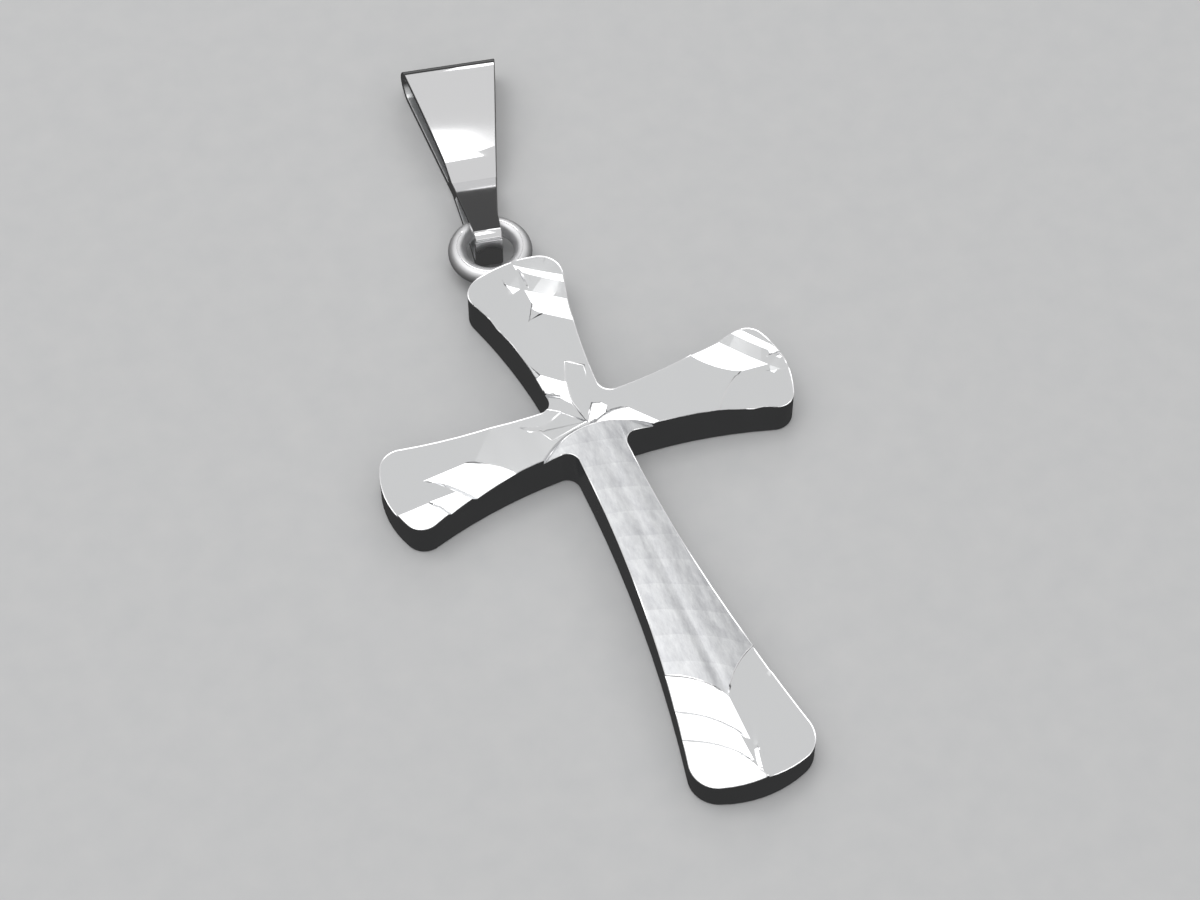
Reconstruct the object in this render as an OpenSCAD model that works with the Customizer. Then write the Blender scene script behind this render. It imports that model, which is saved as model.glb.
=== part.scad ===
// Cross pendant: a cast cross with a diamond-cut front and a soldered eye ring,
// hung in a folded strip bail. It lies on its flat back.
// The frame has its origin at the crossing centre on the back face, +Z out of the
// front, +Y to the bail and +X along the cross-bar.

/* [Cross outline] */
// Span of the cross-bar, tip to tip
span_w = 20; // [18:0.5:26]
// Length of the top arm from the crossing centre
top_len = 10.3; // [9:0.1:12]
// Length of the foot from the crossing centre
foot_len = 19.9; // [18:0.1:24]
// Width of each arm where it leaves the crossing
root_w = 2.42; // [2:0.02:3]
// Radius of the inner corners between the arms
root_r = 0.65; // [0.4:0.05:0.8]
// Width across the shoulders of a side arm
side_w = 5.3; // [4.6:0.1:6.2]
// Width across the shoulders of the top arm
top_w = 5.32; // [4.6:0.1:6.2]
// Width across the shoulders of the foot
foot_w = 6.2; // [5.4:0.1:7.2]
// Bulge of a side arm's rounded end
side_bulge = 0.83; // [0.5:0.05:1.1]
// Bulge of the top arm's rounded end
top_bulge = 0.62; // [0.4:0.05:1]
// Bulge of the foot's rounded end
foot_bulge = 1; // [0.6:0.05:1.3]
// How far a side arm's flanks bow inward
side_waist = 0.34; // [0.15:0.05:0.5]
// How far the top arm's flanks bow inward
top_waist = 0.33; // [0.15:0.05:0.5]
// How far the foot's flanks bow inward
foot_waist = 0.54; // [0.3:0.05:0.8]
// Corner radius of a side arm
side_corner = 0.95; // [0.5:0.05:1.2]
// Corner radius of the top arm
top_corner = 1.2; // [0.6:0.05:1.4]
// Corner radius of the foot
foot_corner = 1.4; // [0.7:0.05:1.7]

/* [Cross front] */
// Thickness of the plate at the crossing centre
plate_t = 2.34; // [2:0.05:3]
// Slope of a side arm's front toward its tip, in degrees
side_fall = 1.9; // [1:0.1:3]
// Slope of the top arm's front toward its tip, in degrees
top_fall = 0.8; // [0.4:0.1:2]
// Slope of the foot's front toward its tip, in degrees
foot_fall = 1.3; // [0.8:0.1:1.8]
// Radius of the crowned front of the foot's shaft
crown_r = 14; // [10:1:24]
// Radius of the round cut that opens the crown below the crossing
crown_cut_r = 4; // [3.6:0.1:5]
// Depth of the crown below the crossing's own face
crown_drop = 0.06; // [0.03:0.01:0.12]
// Distance of the crown's round cut from the crossing centre
crown_top = 0.2; // [0.1:0.05:0.5]

/* [Diamond cuts] */
// Sweep radius of the cutting tool
cut_r = 4.5; // [4:0.1:5.5]
// Distance of the tool's centre from the arm's axis
cut_off = 4; // [3.6:0.1:4.4]
// Slope of each cut toward the tip, in degrees
cut_out = 8.5; // [6:0.5:11]
// Slope of each cut toward the rim, in degrees
cut_side = 6; // [4:0.5:8]
// Slope of the foot's cuts toward its tip, in degrees
foot_out = 4; // [3:0.5:6]
// Slope of the foot's cuts toward its rim, in degrees
foot_side = 9.5; // [8:0.5:11]
// Depth of each cut at the arm's axis
cut_bite = 0.05; // [0.03:0.01:0.1]
// Steepness of the steps between the bright cuts on the foot and the left arm, in degrees
step_steep = 42; // [35:1:55]
// Steepness of the wide steps between the bright cuts on the right and the top arm, in degrees
step_wide = 4; // [3.5:0.5:6]
// Steepness of the faint steps on the grey halves of the arms, in degrees
step_faint = 14; // [12:1:18]
// Depth of the star's cuts below the crossing's own face
star_depth = 0.09; // [0.07:0.01:0.11]

/* [Eye ring] */
// Radius of the eye ring, to the centre of its wire
eye_r = 1.6; // [1.5:0.02:1.8]
// Radius of the eye ring's wire
eye_wire_r = 0.45; // [0.4:0.01:0.46]
// Depth that the wire's axis runs into the top arm's end
eye_sink = -0.14; // [-0.2:0.02:0]
// Gap between the bail's back leaf and the eye's wire
eye_gap = 0.2; // [0.18:0.01:0.24]
// Sideways place of the eye ring on the top arm
eye_x = -0.1; // [-0.2:0.05:0.2]

/* [Bail] */
// Thickness of the folded strip
strip_t = 0.35; // [0.28:0.01:0.35]
// Length of the bail along its flat back
bail_len = 12.4; // [11:0.1:14]
// Width of the strip at the open fold
bail_top_w = 4.84; // [4:0.1:5.4]
// Reach of the strip's left edge from its middle where it grips the eye
grip_left = 0.8; // [0.7:0.02:0.84]
// Reach of the strip's right edge from its middle where it grips the eye
grip_right = 0.7; // [0.6:0.02:0.8]
// Room inside the loop between its front and the eye's wire
loop_play = 1.2; // [1.1:0.02:1.22]
// Radius of the loop's bend at the top
nose_r = 0.37; // [0.36:0.01:0.4]
// Radius of the loop's bend at the bottom
heel_r = 0.7; // [0.6:0.05:0.9]
// Slope of the front leaf over the eye, in degrees
loop_slope = 20; // [19.5:0.5:21]
// Length of the loop from its front to the solder seam
loop_len = 4.5; // [4.3:0.05:4.8]
// Length of the solder seam between the two leaves
seam_len = 1.1; // [0.8:0.05:1.4]
// Height of the crease at the seam
crease_z = 0.9; // [0.85:0.05:1]
// Radius of the fold at the wide end
fold_r = 0.98; // [0.9:0.02:1.1]
// Slope of the short rise out of the seam, in degrees
rise_slope = 33; // [28:1:38]
// Height of the knee where the rise meets the long leaf
knee_z = 1.55; // [1.45:0.05:1.65]
// Radius of the knee
knee_r = 1.5; // [1:0.1:2]
// Reach of the strip's left edge from its middle at the loop's front
nose_left = 0.7; // [0.6:0.02:0.72]
// Reach of the strip's right edge from its middle at the loop's front
nose_right = 0.6; // [0.5:0.02:0.7]
// Reach of the strip's left edge from its middle at the seam
seam_left = 1.06; // [0.95:0.05:1.5]
// Reach of the strip's right edge from its middle at the seam
seam_right = 1.18; // [0.95:0.05:1.6]
// Slew of the bail off the pendant's axis, in degrees
slew = 11.5; // [0:0.5:20]
// Sideways rest of the bail in the eye
bail_shift = -0.04; // [-0.06:0.01:0]

/* [Hidden] */
$fn = 160;
metal = [0.86, 0.87, 0.88];
mirror_metal = [0.93, 0.94, 0.95];
// Small bite of one arc into the next, so that they cross cleanly
bite = 0.002;
// Height of the step's cone above and below the tool's edge, and the depth of the foot below it
step_rise = 0.5;
foot_depth = 0.7;
// Share of the tool's radius that a cone may lose to its top
cone_share = 0.8;
// Distance from the axis at which the tool's edge lies on the cut, as a share of its radius
edge_share = 1 / 3;
// Room over and around the plate for the cutting solids
over = 8;
reach = 40;
side_len = span_w / 2;
root = root_w / 2;
// Centre and radius of the star's round cut, as shares of the arms' half width there
star_round = [1.08, -1.82, 1.94];

// Geometry of an arm whose axis is local x: [length, half width, bulge, waist, corner]
side_arm = [side_len, side_w / 2, side_bulge, side_waist, side_corner];
top_arm = [top_len, top_w / 2, top_bulge, top_waist, top_corner];
foot_arm = [foot_len, foot_w / 2, foot_bulge, foot_waist, foot_corner];

function flank_r(a) = (pow(norm(shoulder(a) - [root, root]) / 2, 2) + a[3] * a[3]) / (2 * a[3]);
function shoulder(a) = [a[0] - a[2], a[1]];
function left_of(v) = [-v[1], v[0]] / norm(v);
function flank_c(a) = (shoulder(a) + [root, root]) / 2
    + left_of(shoulder(a) - [root, root]) * (flank_r(a) - a[3]);
function end_r(a) = (a[1] * a[1] + a[2] * a[2]) / (2 * a[2]);
function end_c(a) = [a[0] - end_r(a), 0];
// Point at distance ra from p and rb from q, on the left of the line from p to q
function meet(p, ra, q, rb) =
    let (d = norm(q - p), x = (ra * ra - rb * rb + d * d) / (2 * d), y = sqrt(ra * ra - x * x))
    p + (q - p) / d * x + left_of(q - p) * y;
function corner_c(a) = meet(flank_c(a), flank_r(a) + a[4] - bite, end_c(a), end_r(a) - a[4] + bite);
function flip(p) = [p[0], -p[1]];
function past(c, from, r) = c + (c - from) / norm(c - from) * r;

// One arm from the crossing centre to its rounded tip
module arm_shape(a) {
    c = corner_c(a);
    toward_flank = past(c, flank_c(a), -2 * a[4]);
    toward_end = past(c, end_c(a), 2 * a[4]);
    union() {
        difference() {
            intersection() {
                polygon([
                    [0, -root],
                    [root, -root - a[3]],
                    flip(toward_flank),
                    flip(c),
                    flip(toward_end),
                    toward_end,
                    c,
                    toward_flank,
                    [root, root + a[3]],
                    [0, root]
                ]);
                union() {
                    translate(end_c(a)) circle(r = end_r(a));
                    translate([0, -a[0]]) square([c[0], 2 * a[0]]);
                }
            }
            translate(flank_c(a)) circle(r = flank_r(a));
            translate(flip(flank_c(a))) circle(r = flank_r(a));
        }
        translate(c) circle(r = a[4]);
        translate(flip(c)) circle(r = a[4]);
    }
}

// Fillet between arm a on +X and arm b on +Y
module corner_patch(a, b) {
    fa = flank_c(a);
    ra = flank_r(a);
    fb = [flank_c(b)[1], flank_c(b)[0]];
    rb = flank_r(b);
    c = meet(fb, rb - root_r + bite, fa, ra - root_r + bite);
    difference() {
        polygon([[0, 0], past(c, fa, root_r + root / 2), c, past(c, fb, root_r + root / 2)]);
        translate(c) circle(r = root_r);
    }
}

module outline() {
    union() {
        arm_shape(side_arm);
        rotate(180) arm_shape(side_arm);
        rotate(90) arm_shape(top_arm);
        rotate(-90) arm_shape(foot_arm);
        corner_patch(side_arm, top_arm);
        mirror([1, 0]) corner_patch(side_arm, top_arm);
        mirror([0, 1]) corner_patch(side_arm, foot_arm);
        mirror([1, 0]) mirror([0, 1]) corner_patch(side_arm, foot_arm);
    }
}

// The space above the plane through p that falls by out along x and by side along y,
// or the space below it when up is 0
module plane_side(p, out, side, up = 1) {
    fall = [tan(out), tan(side)];
    translate(p)
        rotate([0, 0, atan2(fall[1], fall[0])])
            rotate([0, atan(norm(fall)), 0])
                translate([-reach, -reach, up * over - over]) cube([2 * reach, 2 * reach, over]);
}

// The material kept behind the tool's edge for the cut that meets the axis at u: a cone
// whose side is the step, from height z on a foot that reaches down into the plate
module kept_cone(u, z, steep) {
    rise = min(step_rise, cone_share * cut_r * tan(steep));
    wide = cut_r + rise / tan(steep);
    translate([edge_x(u), cut_off, z]) {
        translate([0, 0, -rise]) cylinder(h = 2 * rise, r1 = wide, r2 = cut_r - rise / tan(steep));
        translate([0, 0, -rise - foot_depth]) cylinder(h = foot_depth, r = wide);
    }
}

// Half of an arm's front, cut at the shares of the arm's length in the list. Each cut
// falls toward the tip by out and toward the rim by side, and a step leads up to the next
// one. A single cut has no round start. The halves meet in a ridge.
module half_cuts(len, shares, fall, steep, out = cut_out, side = cut_side) {
    rim_drop = edge_share * cut_r * tan(side);
    difference() {
        intersection() {
            cut_plane(shares[0] * len, fall, out, side, 1);
            if (len(shares) > 1)
                translate([edge_x(shares[0] * len), cut_off, 0])
                    cylinder(h = over, r = cut_r);
            translate([shares[0] * len / 2, -root, 0]) cube([2 * reach, reach, over]);
        }
        for (i = [1 : 1 : len(shares) - 1]) {
            u = shares[i] * len;
            intersection() {
                cut_plane(u, fall, out, side, 0);
                kept_cone(u, cut_z(u, fall) - rim_drop, steep);
            }
        }
    }
}

function cut_z(u, fall) = plate_t - u * tan(fall) - cut_bite;
// Place along the arm of the tool's centre, whose edge meets the axis at u
function edge_x(u) = u + sqrt(cut_r * cut_r - cut_off * cut_off);

module cut_plane(u, fall, out, side, up) {
    plane_side([u, 0, cut_z(u, fall)], out, side, up);
}

// The cuts of both halves of each arm, at shares of the arm's length
module front_cuts() {
    // right arm, upper and lower half
    half_cuts(side_len, [0.775, 0.93, 1.065], side_fall, step_wide);
    mirror([0, 1, 0]) half_cuts(side_len, [0.77, 0.93], side_fall, step_faint);
    // left arm, lower half with its steps and upper half with one plain cut
    mirror([1, 0, 0]) mirror([0, 1, 0]) half_cuts(side_len, [0.575, 0.81, 0.955], side_fall, step_steep);
    mirror([1, 0, 0]) half_cuts(side_len, [0.6], side_fall, step_faint);
    // top arm, right and left half
    rotate([0, 0, 90]) mirror([0, 1, 0]) half_cuts(top_len, [0.711, 0.877, 1.035], top_fall, step_wide);
    rotate([0, 0, 90]) half_cuts(top_len, [0.675, 0.83], top_fall, step_faint);
    // foot, left and right half
    rotate([0, 0, -90]) mirror([0, 1, 0])
        half_cuts(foot_len, [0.784, 0.881, 0.957], foot_fall, step_steep, foot_out, foot_side);
    rotate([0, 0, -90]) half_cuts(foot_len, [0.79, 0.869], foot_fall, step_faint, foot_out, foot_side);
}

// A flat cut over a patch of the crossing. It passes through p, at p's third value times
// the star's depth below the face, and falls in the direction dir by slope.
module star_plane(p, dir, slope) {
    translate([p[0] * root, p[1] * root, plate_t - p[2] * star_depth])
        rotate([0, 0, dir])
            rotate([0, slope, 0])
                translate([-reach, -reach, 0]) cube([2 * reach, 2 * reach, over]);
}

module star_face(points, p, dir, slope) {
    intersection() {
        linear_extrude(over) polygon(points * root);
        star_plane(p, dir, slope);
    }
}

// The star cut into the crossing: points are shares of the arms' half width there
module star() {
    // patch that runs from the point up to the right
    star_face([[-0.1, -0.1], [0.45, 0.7], [1.03, 0.55], [0.75, 0.03]], [0.75, 0.62, 0.4], 225, 8.5);
    // patch on the left rim of the top arm
    star_face([[-1.5, 2.5], [-0.9, 2.68], [-0.53, 2.7], [-0.08, 2.1], [-0.24, 1.03], [-0.53, 1.5], [-1.3, 2.25]],
        [-0.35, 1.9, 0.9], 225, 8.5);
    // groove from the upper left corner to the point
    star_face([[-1.5, 2.1], [-0.53, 1.5], [-0.24, 1.03], [-0.06, -0.08], [-0.79, 0.78], [-1.5, 1.3]],
        [-0.24, 1.03, 1.2], 110, 4);
    // narrow face beside the top arm's axis
    star_face([[0, -0.05], [-0.12, 0.1], [-0.24, 1.03], [-0.08, 2.1], [0.25, 3], [0.87, 2.5], [0.45, 0.7]],
        [0.6, 2, 0.4], 90, 2);
    // face left of the point
    star_face([[-0.02, 0], [-0.79, 0.78], [-1.9, 0.28], [-1.6, -0.3]], [-1.5, 0.3, 0.9], 300, 2.5);
    // sliver on the left arm
    star_face([[-2.5, 0.72], [-1.6, 0.44], [-1.5, 0.19], [-2.23, 0.4]], [-2, 0.62, 0.9], 225, 8.5);
    // round cut on the right arm's lower half
    intersection() {
        linear_extrude(over) difference() {
            translate([star_round[0] * root, star_round[1] * root]) circle(r = star_round[2] * root);
            crown_plan();
        }
        star_plane([1.55, 0.02, 0.9], 225, 8.5);
    }
}

// Plan of the crowned shaft, open below the crossing by a round cut
module crown_plan() {
    union() {
        translate([0, -crown_top - crown_cut_r]) circle(r = crown_cut_r);
        translate([-foot_w, -foot_len - foot_w])
            square([2 * foot_w, foot_len + foot_w - crown_top - crown_cut_r]);
    }
}

module crown() {
    difference() {
        linear_extrude(over) crown_plan();
        translate([0, 0, plate_t - crown_drop - crown_r])
            rotate([90 + foot_fall, 0, 0])
                translate([0, 0, -reach / 2]) cylinder(h = 2 * reach, r = crown_r);
    }
}

module cross() {
    color(metal) union() {
        difference() {
            linear_extrude(plate_t) outline();
            plane_side([0, 0, plate_t], side_fall, 0);
            rotate([0, 0, 180]) plane_side([0, 0, plate_t], side_fall, 0);
            rotate([0, 0, 90]) plane_side([0, 0, plate_t], top_fall, 0);
            crown();
            front_cuts();
            star();
        }
        translate([eye_x, top_len - eye_sink + eye_r, strip_t + eye_gap + eye_wire_r])
            rotate_extrude() translate([eye_r, 0]) circle(r = eye_wire_r);
    }
}

// Side view of the bail: s runs along it from the loop's front, the height is y.
// inset pulls every face in, which gives the hollow inside the strip.
crease_s = loop_len + seam_len / 2;
crease = [crease_s, crease_z];
loop_out = [sin(loop_slope), cos(loop_slope)];
nose_c = [nose_r, crease_z + (crease_s - nose_r) * tan(loop_slope) - nose_r / cos(loop_slope)];
heel_c = [heel_r, heel_r];
rise_dir = [cos(rise_slope), sin(rise_slope)];
rise_in = [sin(rise_slope), -cos(rise_slope)];
knee = crease + rise_dir * (knee_z - crease[1]) / sin(rise_slope);
fold_c = [bail_len - fold_r, fold_r];
leaf_r = (pow(fold_c[0] - knee[0], 2) + pow(2 * fold_r - knee[1], 2)) / (2 * (2 * fold_r - knee[1]));
leaf_c = [fold_c[0], 2 * fold_r - leaf_r];
knee_q = knee + rise_in * knee_r - leaf_c;
knee_run = -knee_q * rise_dir
    + sqrt(pow(knee_q * rise_dir, 2) - knee_q * knee_q + pow(leaf_r - knee_r + bite, 2));
knee_c = leaf_c + knee_q + rise_dir * knee_run;

module side_view(inset) {
    knee_low = [knee_c[0], knee_c[1] + 2 * inset];
    intersection() {
        translate([-over, inset]) square([2 * reach, over]);
        union() {
            translate(nose_c) circle(r = nose_r - inset + bite);
            translate(heel_c) circle(r = heel_r - inset + bite);
            polygon([
                heel_c,
                [inset, heel_r],
                [inset, nose_c[1]],
                nose_c,
                nose_c + loop_out * (nose_r - inset),
                crease - loop_out * inset,
                [crease_s, -over],
                [heel_r, -over]
            ]);
            polygon([
                [loop_len, -over],
                [loop_len, inset],
                crease + rise_in * inset,
                knee_c - rise_in * (knee_r - inset - bite),
                knee_low,
                [knee_c[0], -over]
            ]);
            intersection() {
                translate(knee_c) circle(r = knee_r - inset);
                translate([knee_c[0] - 0.8 * knee_r, -over]) square([knee_r, 2 * over]);
            }
            intersection() {
                translate(leaf_c) circle(r = leaf_r - inset);
                polygon([
                    [knee_c[0] - knee_r / 2, -over],
                    [knee_c[0] - knee_r / 2, inset],
                    knee_low,
                    past(knee_c, leaf_c, 2 * knee_r),
                    [fold_c[0], 3 * fold_r],
                    [fold_c[0], -over]
                ]);
            }
            translate(fold_c) circle(r = fold_r - inset + bite);
        }
    }
}

// Plan of the bail: x across the strip, y along it from the loop's front
module plan_view() {
    grip = strip_t + loop_play + eye_wire_r;
    polygon([
        [-nose_left, -over],
        [-nose_left, 0],
        [-grip_left, grip],
        [-seam_left, crease_s],
        [-bail_top_w / 2, bail_len],
        [-bail_top_w / 2, bail_len + over],
        [bail_top_w / 2, bail_len + over],
        [bail_top_w / 2, bail_len],
        [seam_right, crease_s],
        [grip_right, grip],
        [nose_right, 0],
        [nose_right, -over]
    ]);
}

module bail() {
    color(mirror_metal)
        translate([eye_x, top_len - eye_sink + eye_r, 0])
            rotate([0, 0, -slew])
                translate([bail_shift, eye_r - eye_wire_r - loop_play - strip_t, 0])
                    intersection() {
                        rotate([90, 0, 90])
                            translate([0, 0, -bail_top_w])
                                linear_extrude(2 * bail_top_w)
                                    difference() {
                                        side_view(0);
                                        intersection() {
                                            side_view(strip_t);
                                            union() {
                                                square([loop_len, over]);
                                                translate([loop_len + seam_len, 0]) square([bail_len, over]);
                                            }
                                        }
                                    }
                        linear_extrude(over) plan_view();
                    }
}

cross();
bail();
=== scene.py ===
import math

import bmesh
import bpy
from mathutils import Matrix, Vector
from mathutils.bvhtree import BVHTree


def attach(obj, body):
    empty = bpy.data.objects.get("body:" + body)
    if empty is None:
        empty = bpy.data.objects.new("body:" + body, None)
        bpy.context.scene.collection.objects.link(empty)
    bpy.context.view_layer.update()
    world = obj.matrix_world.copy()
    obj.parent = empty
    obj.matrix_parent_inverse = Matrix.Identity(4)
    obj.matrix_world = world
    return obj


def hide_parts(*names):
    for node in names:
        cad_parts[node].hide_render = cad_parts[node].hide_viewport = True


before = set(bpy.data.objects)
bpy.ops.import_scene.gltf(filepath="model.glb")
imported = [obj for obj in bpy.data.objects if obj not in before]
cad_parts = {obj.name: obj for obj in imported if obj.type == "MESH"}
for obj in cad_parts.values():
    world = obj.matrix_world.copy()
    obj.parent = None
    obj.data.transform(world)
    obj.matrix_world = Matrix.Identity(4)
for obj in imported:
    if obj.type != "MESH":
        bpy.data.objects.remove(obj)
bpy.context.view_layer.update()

MM = 0.001

# the camera, as found from the photograph's arms, ends and eye ring
CAMERA_AZIMUTH = -22.9
CAMERA_ELEVATION = 54.85
CAMERA_DISTANCE = 140 * MM
CAMERA_TARGET = Vector((0.48, -0.26, 0)) * MM
CAMERA_FOCAL_PX = 3002
IMAGE_W_PX = 1200
SENSOR_MM = 36

# sizes of the cross that its finishes follow, in millimetres
PLATE_T = 2.34
TOP_LEN = 10.3
EYE_R = 1.6
EYE_WIRE_R = 0.45
EYE_CENTRE = (-0.1, 12.04, 1.0)
BAIL_SLEW = 11.5
CROWN_R = 14
CROWN_DROP = 0.06
FOOT_FALL = 1.3

# widths of the polished edges that a buffing wheel leaves, in millimetres
FRONT_EDGE = 0.045
FRONT_EDGE_DROP = 0.015
BACK_EDGE = 0.05
BAIL_EDGE = 0.04

CUT, SHAFT, WALL, EYE, EDGE = range(5)
OUTSIDE, INSIDE = range(2)

# corners closer than this, in millimetres, are one corner: in the CAD's meshes, and after rounding
CROSS_WELD = 0.008
BAIL_WELD = 0.004
WELD = 0.001

# bends in degrees: still one flat face, a crease between two cuts, a crease anywhere, a square edge
FLAT_BEND = 0.2
CUT_CREASE = 2.5
CREASE = 32
SQUARE_BEND = 60

# how level a face has to look, as its normal's height, to be part of the front or a cut in it
FRONT_LEVEL = 0.75
CUT_LEVEL = 0.85

# play in millimetres when a face is matched with the eye's wire, the shaft's crown or the back
EYE_PLAY = 0.02
EYE_REACH = 0.3
CROWN_PLAY = 0.012
CROWN_LEAN_PLAY = 0.02
BACK_PLAY = 0.01

# a ray starts this far off a face, in millimetres, so that it misses the face itself, and looks
# this far for the strip's other leaf
CLEAR = 0.002
LEAF_REACH = 3

# the front of the bail's loop, in millimetres: edges that lie within it stay sharp
LOOP_FRONT = 0.02

# brightness of the light tent over the table, and its greys by the sine of the height
TENT = 0.7
TENT_FLOOR = 0.045
TENT_GREYS = ((-0.5, 0.05), (-0.1, 0.17), (0.0, 0.17), (0.05, 0.1), (0.2, 0.07),
              (0.26, 0.03), (0.36, 0.03), (0.42, TENT))

# soft panels: name, place in metres, the way the back looks, width and height in metres, watts
PANELS = (("overhead_panel", (-0.10, 0.106, 0.5), (0, 0, 1), 0.40, 0.36, 0.7),
          ("front_panel", (-0.03, -0.46, 0.12), (-0.03, -0.46, 0.12), 0.4, 0.16, 0.16),
          ("back_panel", (0.2, 0.375, 0.25), (0.2, 0.375, 0.25), 0.17, 0.17, 0.11))

# the card under the pendant: radius in metres, and how far it lies below, in millimetres
FLOOR_R = 2.0
FLOOR_DROP = 0.02


def linear(code):
    """The linear colour of an sRGB hex value."""
    parts = [int(code[i:i + 2], 16) / 255 for i in (1, 3, 5)]
    return [p / 12.92 if p <= 0.04045 else ((p + 0.055) / 1.055) ** 2.4 for p in parts] + [1]


def add(tree, kind, settings=(), links=()):
    """A node of this kind, with its attributes and sockets set and its inputs linked."""
    node = tree.nodes.new("ShaderNode" + kind)
    for key, value in dict(settings).items():
        if hasattr(node, str(key)):
            setattr(node, key, value)
        else:
            node.inputs[key].default_value = value
    for key, output in dict(links).items():
        tree.links.new(output, node.inputs[key])
    return node


def new_material(name):
    material = bpy.data.materials.new(name)
    material.use_nodes = True
    material.node_tree.nodes.clear()
    return material, material.node_tree


def finish_material(tree, shader):
    add(tree, "OutputMaterial", links={"Surface": shader.outputs[0]})


def finish_metal(tree, colour, height, gloss, strength, depth):
    """A metal of this colour: height, a noise node, drives its gloss between the two roughness
    values and its bumps of this strength and depth in millimetres."""
    rough = add(tree, "MapRange", {"To Min": gloss[0], "To Max": gloss[1]}, {"Value": height.outputs["Fac"]})
    bump = add(tree, "Bump", {"Strength": strength, "Distance": depth * MM}, {"Height": height.outputs["Fac"]})
    shader = add(tree, "BsdfPrincipled", {"Base Color": linear(colour), "Metallic": 1.0},
                 {"Roughness": rough.outputs["Result"], "Normal": bump.outputs["Normal"]})
    finish_material(tree, shader)


# the materials

def cut_silver():
    """Diamond-cut rhodium-plated silver: a flat bright cut with the tool's fine arcs in it,
    so that it flashes as one plane and shows a soft streak."""
    material, tree = new_material("diamond_cut_silver")
    place = add(tree, "TexCoord")
    grain = add(tree, "Mapping", {"Scale": (900, 260, 900), "Rotation": (0, 0, math.radians(24))},
                {"Vector": place.outputs["Object"]})
    streaks = add(tree, "TexNoise", {"Scale": 1.0, "Detail": 3.0, "Roughness": 0.6},
                  {"Vector": grain.outputs["Vector"]})
    finish_metal(tree, "#ECEDEE", streaks, (0.08, 0.16), 0.06, 0.02)
    return material


def satin_shaft():
    """Satin silver left by a fly cutter: shallow arcs 1.3 mm apart cross the shaft, under a
    fine grain, so that it looks softly grey and mottled beside the cuts."""
    material, tree = new_material("satin_cut_silver")
    place = add(tree, "TexCoord")
    centre = add(tree, "Mapping", {"Location": (6.0 * MM, 24.0 * MM, 0)}, {"Vector": place.outputs["Object"]})
    arcs = add(tree, "TexWave", {"wave_type": "RINGS", "rings_direction": "Z", "wave_profile": "SAW",
                                 "Scale": 240.0, "Distortion": 0.6, "Detail": 2.0, "Detail Scale": 1.5},
               {"Vector": centre.outputs["Vector"]})
    grain_place = add(tree, "Mapping", {"Scale": (2600, 900, 1000), "Rotation": (0, 0, math.radians(-62))},
                      {"Vector": place.outputs["Object"]})
    grain = add(tree, "TexNoise", {"Scale": 1.0, "Detail": 5.0, "Roughness": 0.75},
                {"Vector": grain_place.outputs["Vector"]})
    mixed = add(tree, "Math", {"operation": "MULTIPLY_ADD", 1: 0.1},
                {0: arcs.outputs["Fac"], 2: grain.outputs["Fac"]})
    gloss = add(tree, "MapRange", {"To Min": 0.3, "To Max": 0.5}, {"Value": grain.outputs["Fac"]})
    tint = add(tree, "MapRange", {"From Min": 0.35, "From Max": 0.75}, {"Value": mixed.outputs[0]})
    colour = add(tree, "MixRGB", {"Color1": linear("#B9BABD"), "Color2": linear("#DDDEDF")},
                 {"Fac": tint.outputs["Result"]})
    bump = add(tree, "Bump", {"Strength": 0.35, "Distance": 0.03 * MM}, {"Height": mixed.outputs[0]})
    shader = add(tree, "BsdfPrincipled", {"Metallic": 1.0},
                 {"Base Color": colour.outputs[0], "Roughness": gloss.outputs["Result"],
                  "Normal": bump.outputs["Normal"]})
    finish_material(tree, shader)
    return material


def buffed_wall():
    """Cast silver buffed along the edge of the plate: smooth, with soft waves from the wheel."""
    material, tree = new_material("buffed_silver")
    place = add(tree, "TexCoord")
    waves = add(tree, "TexNoise", {"Scale": 900.0, "Detail": 3.0, "Roughness": 0.5},
                {"Vector": place.outputs["Object"]})
    finish_metal(tree, "#D6D7D9", waves, (0.16, 0.28), 0.1, 0.03)
    return material


def polished_edge():
    """The narrow edge that the buffing wheel rounds over: a bright line round the front."""
    material, tree = new_material("polished_silver_edge")
    shader = add(tree, "BsdfPrincipled", {"Base Color": linear("#F2F2F3"), "Metallic": 1.0, "Roughness": 0.22})
    finish_material(tree, shader)
    return material


def cast_eye():
    """Cast and tumbled silver: a satin ring with a faint unevenness that spreads its light."""
    material, tree = new_material("tumbled_silver")
    place = add(tree, "TexCoord")
    pits = add(tree, "TexNoise", {"Scale": 2400.0, "Detail": 4.0, "Roughness": 0.6},
               {"Vector": place.outputs["Object"]})
    finish_metal(tree, "#ECECED", pits, (0.44, 0.58), 0.12, 0.02)
    return material


def mirror_strip():
    """Rolled strip polished to a mirror: reflections stay sharp, with a trace of roller waviness."""
    material, tree = new_material("mirror_silver_strip")
    place = add(tree, "TexCoord")
    along = add(tree, "Mapping", {"Scale": (500, 60, 200), "Rotation": (0, 0, math.radians(12))},
                {"Vector": place.outputs["Object"]})
    waves = add(tree, "TexNoise", {"Scale": 1.0, "Detail": 2.0}, {"Vector": along.outputs["Vector"]})
    finish_metal(tree, "#F0F0F1", waves, (0.06, 0.11), 0.012, 0.02)
    return material


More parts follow.
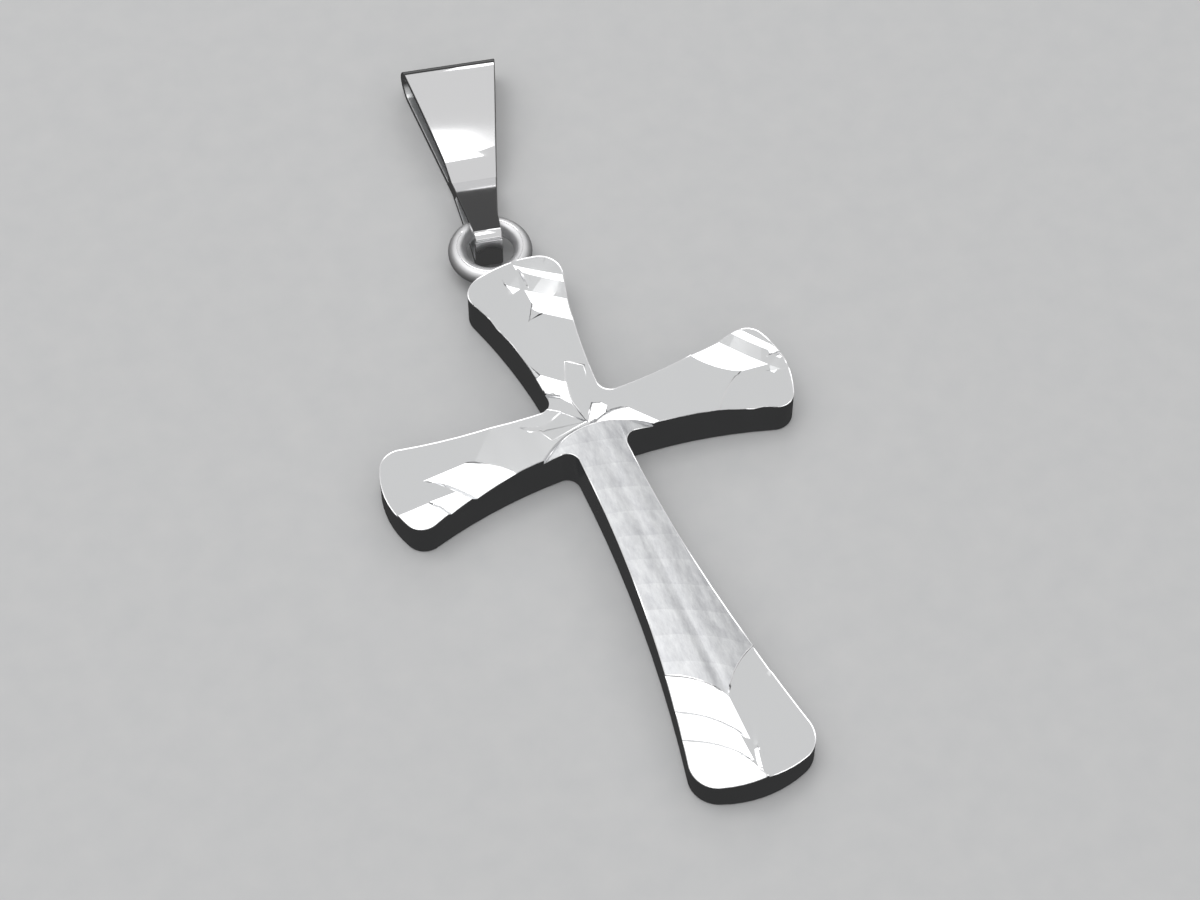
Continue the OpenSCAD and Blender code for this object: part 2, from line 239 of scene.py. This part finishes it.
def strip_inside_painted_shade():
    """The strip's inner side, which the polishing wheel can't reach: rolled silver with a dull sheen, and a
    darker grey that is painted shade where the leaves face each other.
    """
    material, tree = new_material("rolled_silver_inside_painted_shade")
    place = add(tree, "TexCoord")
    along = add(tree, "Mapping", {"Scale": (1500, 200, 200), "Rotation": (0, 0, math.radians(12))},
                {"Vector": place.outputs["Object"]})
    lines = add(tree, "TexNoise", {"Scale": 1.0, "Detail": 3.0}, {"Vector": along.outputs["Vector"]})
    gloss = add(tree, "MapRange", {"To Min": 0.32, "To Max": 0.45}, {"Value": lines.outputs["Fac"]})
    # darker than the strip's outer colour: painted shade between the leaves
    shader = add(tree, "BsdfPrincipled", {"Base Color": linear("#DADBDC"), "Metallic": 1.0},
                 {"Roughness": gloss.outputs["Result"]})
    finish_material(tree, shader)
    return material


def pale_paper():
    """Uncoated pale card under the pendant: matt, with a faint fibre mottle."""
    material, tree = new_material("pale_card")
    place = add(tree, "TexCoord")
    fibre = add(tree, "TexNoise", {"Scale": 700.0, "Detail": 4.0}, {"Vector": place.outputs["Object"]})
    tint = add(tree, "MixRGB", {"Color1": linear("#CDCECF"), "Color2": linear("#D6D6D6")},
               {"Fac": fibre.outputs["Fac"]})
    shader = add(tree, "BsdfPrincipled", {"Roughness": 0.9, "Specular IOR Level": 0.15},
                 {"Base Color": tint.outputs[0]})
    finish_material(tree, shader)
    return material


# the pieces

def merged_copy(node, close):
    """The node's surface as one welded mesh, with each flat face made whole again."""
    bm = bmesh.new()
    bm.from_mesh(node.data)
    bmesh.ops.remove_doubles(bm, verts=bm.verts, dist=close)
    bmesh.ops.dissolve_limit(bm, angle_limit=math.radians(FLAT_BEND), verts=bm.verts, edges=bm.edges,
                             use_dissolve_boundaries=False)
    return bm


def bend(edge):
    return math.degrees(edge.calc_face_angle(0)) if len(edge.link_faces) == 2 else 0


def square_edges(bm):
    return [e for e in bm.edges if e.is_convex and bend(e) > SQUARE_BEND]


def round_edges(bm, edges, width):
    bmesh.ops.bevel(bm, geom=edges, offset=width, offset_type="OFFSET", segments=3, profile=0.5,
                    affect="EDGES", clamp_overlap=False, material=-1)
    bmesh.ops.remove_doubles(bm, verts=bm.verts, dist=WELD * MM)


def make_piece(bm, name, materials, body, node, sharp):
    """Turns the bmesh into a smooth piece with crisp creases that stands for the node."""
    for face in bm.faces:
        face.smooth = True
    for edge in bm.edges:
        edge.smooth = not sharp(edge)
    mesh = bpy.data.meshes.new(name)
    bm.to_mesh(mesh)
    bm.free()
    for material in materials:
        mesh.materials.append(material)
    piece = bpy.data.objects.new(name, mesh)
    bpy.context.scene.collection.objects.link(piece)
    even = piece.modifiers.new("even_normals", "WEIGHTED_NORMAL")
    even.keep_sharp = True
    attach(piece, body)
    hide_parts(node)


def finish_of(face):
    """Which of the cross's finishes a face has, from where it lies and which way it looks."""
    x, y, z = face.calc_center_median() / MM
    n = face.normal
    ring = math.hypot(x - EYE_CENTRE[0], y - EYE_CENTRE[1])
    off_wire = math.hypot(ring - EYE_R, z - EYE_CENTRE[2])
    if off_wire < EYE_WIRE_R + EYE_PLAY and y > TOP_LEN - EYE_REACH:
        return EYE
    if n.z < FRONT_LEVEL:
        return WALL
    fall = math.radians(FOOT_FALL)
    axis_z = PLATE_T - CROWN_DROP - CROWN_R
    lift = (z - axis_z) * math.cos(fall) - y * math.sin(fall)
    on_crown = abs(math.hypot(x, lift) - CROWN_R) < CROWN_PLAY
    if y < 0 and on_crown and abs(n.x - x / CROWN_R) < CROWN_LEAN_PLAY:
        return SHAFT
    return CUT


def make_cross():
    bm = merged_copy(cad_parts["cross"], CROSS_WELD * MM)
    for face in bm.faces:
        face.material_index = finish_of(face)
    front = [f for f in bm.faces if f.material_index in (CUT, SHAFT)]
    rim = {v for f in front for v in f.verts
           if any(g.material_index not in (CUT, SHAFT) for g in v.link_faces)}
    ring = bmesh.ops.inset_region(bm, faces=front, thickness=FRONT_EDGE * MM, use_even_offset=False,
                                  use_boundary=True)
    for face in ring["faces"]:
        face.material_index = EDGE
    for vert in rim:
        vert.co.z -= FRONT_EDGE_DROP * MM
    back = [e for e in square_edges(bm) if all(v.co.z < BACK_PLAY * MM for v in e.verts)]
    round_edges(bm, back, BACK_EDGE * MM)

    def sharp(edge):
        kinds = {f.material_index for f in edge.link_faces}
        up = all(f.normal.z > CUT_LEVEL for f in edge.link_faces)
        if kinds == {EYE} or kinds == {SHAFT}:
            return False
        if EDGE in kinds:
            return len(kinds) > 1
        if up and kinds <= {CUT, SHAFT}:
            return bend(edge) > CUT_CREASE
        return bend(edge) > CREASE

    finishes = [cut_silver(), satin_shaft(), buffed_wall(), cast_eye(), polished_edge()]
    make_piece(bm, "cross_body", finishes, "cross", "cross", sharp)


def make_bail():
    bm = merged_copy(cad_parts["bail"], BAIL_WELD * MM)
    tree = BVHTree.FromBMesh(bm)
    # a face that looks onto the strip's other leaf lies between the leaves and takes the inner finish, whose
    # darker grey is painted shade
    for face in bm.faces:
        start = face.calc_center_median() + face.normal * CLEAR * MM
        hit = tree.ray_cast(start, face.normal, LEAF_REACH * MM)[0]
        face.material_index = OUTSIDE if hit is None else INSIDE
    slew = math.radians(BAIL_SLEW)
    along = Vector((math.sin(slew), math.cos(slew), 0))
    front = min(v.co.dot(along) for v in bm.verts) + LOOP_FRONT * MM
    rim = [e for e in square_edges(bm) if any(v.co.dot(along) > front for v in e.verts)]
    round_edges(bm, rim, BAIL_EDGE * MM)
    make_piece(bm, "bail_strip", [mirror_strip(), strip_inside_painted_shade()], "bail", "bail",
               lambda edge: bend(edge) > CREASE)


# the studio

def look_from(azimuth, elevation):
    """Unit vector from the pendant toward a light or the camera at this angle."""
    a, e = math.radians(azimuth), math.radians(elevation)
    return Vector((math.sin(a) * math.cos(e), -math.cos(a) * math.cos(e), math.sin(e)))


def make_camera():
    a, e = math.radians(CAMERA_AZIMUTH), math.radians(CAMERA_ELEVATION)
    back = look_from(CAMERA_AZIMUTH, CAMERA_ELEVATION)
    right = Vector((math.cos(a), math.sin(a), 0))
    up = Vector((-math.sin(a) * math.sin(e), math.cos(a) * math.sin(e), math.cos(e)))
    camera = bpy.data.cameras.new("camera")
    camera.sensor_fit = "HORIZONTAL"
    camera.sensor_width = SENSOR_MM
    camera.lens = SENSOR_MM * CAMERA_FOCAL_PX / IMAGE_W_PX
    camera.clip_start = 1 * MM
    camera.clip_end = 20
    thing = bpy.data.objects.new("camera", camera)
    turn = Matrix((right, up, back)).transposed().to_4x4()
    thing.matrix_world = Matrix.Translation(CAMERA_TARGET + back * CAMERA_DISTANCE) @ turn
    bpy.context.scene.collection.objects.link(thing)
    bpy.context.scene.camera = thing


def softbox(name, place, back, width, height, watts):
    """A soft panel light at this place, in metres, with its back turned along back."""
    light = bpy.data.lights.new(name, "AREA")
    light.shape = "RECTANGLE"
    light.size = width
    light.size_y = height
    light.energy = watts
    thing = bpy.data.objects.new(name, light)
    thing.rotation_euler = Vector(back).to_track_quat("Z", "Y").to_euler()
    thing.location = place
    bpy.context.scene.collection.objects.link(thing)


def make_world():
    """A tent of light grey cloth overhead that stops above the table, where it is dark: greys by
    the sine of the height."""
    world = bpy.data.worlds.new("studio")
    bpy.context.scene.world = world
    world.use_nodes = True
    tree = world.node_tree
    tree.nodes.clear()
    place = add(tree, "TexCoord")
    parts = add(tree, "SeparateXYZ", links={"Vector": place.outputs["Generated"]})
    height = add(tree, "MapRange", {"From Min": -1.0, "From Max": 1.0}, {"Value": parts.outputs["Z"]})
    ramp = add(tree, "ValToRGB", links={"Fac": height.outputs["Result"]})
    stops = ramp.color_ramp
    stops.elements[0].color = (TENT_FLOOR, TENT_FLOOR, TENT_FLOOR, 1)
    stops.elements[1].color = (TENT, TENT, TENT, 1)
    for sine, grey in TENT_GREYS:
        stops.elements.new((sine + 1) / 2).color = (grey, grey, grey, 1)
    sky = add(tree, "Background", {"Strength": 1.0}, {"Color": ramp.outputs["Color"]})
    add(tree, "OutputWorld", links={"Surface": sky.outputs[0]})


def make_floor():
    bm = bmesh.new()
    bmesh.ops.create_circle(bm, cap_ends=True, radius=FLOOR_R, segments=96)
    bmesh.ops.translate(bm, verts=bm.verts, vec=(0, 0, -FLOOR_DROP * MM))
    mesh = bpy.data.meshes.new("floor")
    bm.to_mesh(mesh)
    bm.free()
    mesh.materials.append(pale_paper())
    floor = bpy.data.objects.new("floor", mesh)
    bpy.context.scene.collection.objects.link(floor)
    floor.visible_glossy = False


make_camera()
make_world()
make_floor()
make_cross()
make_bail()
for panel in PANELS:
    softbox(*panel)
bpy.context.scene.view_settings.view_transform = "Standard"
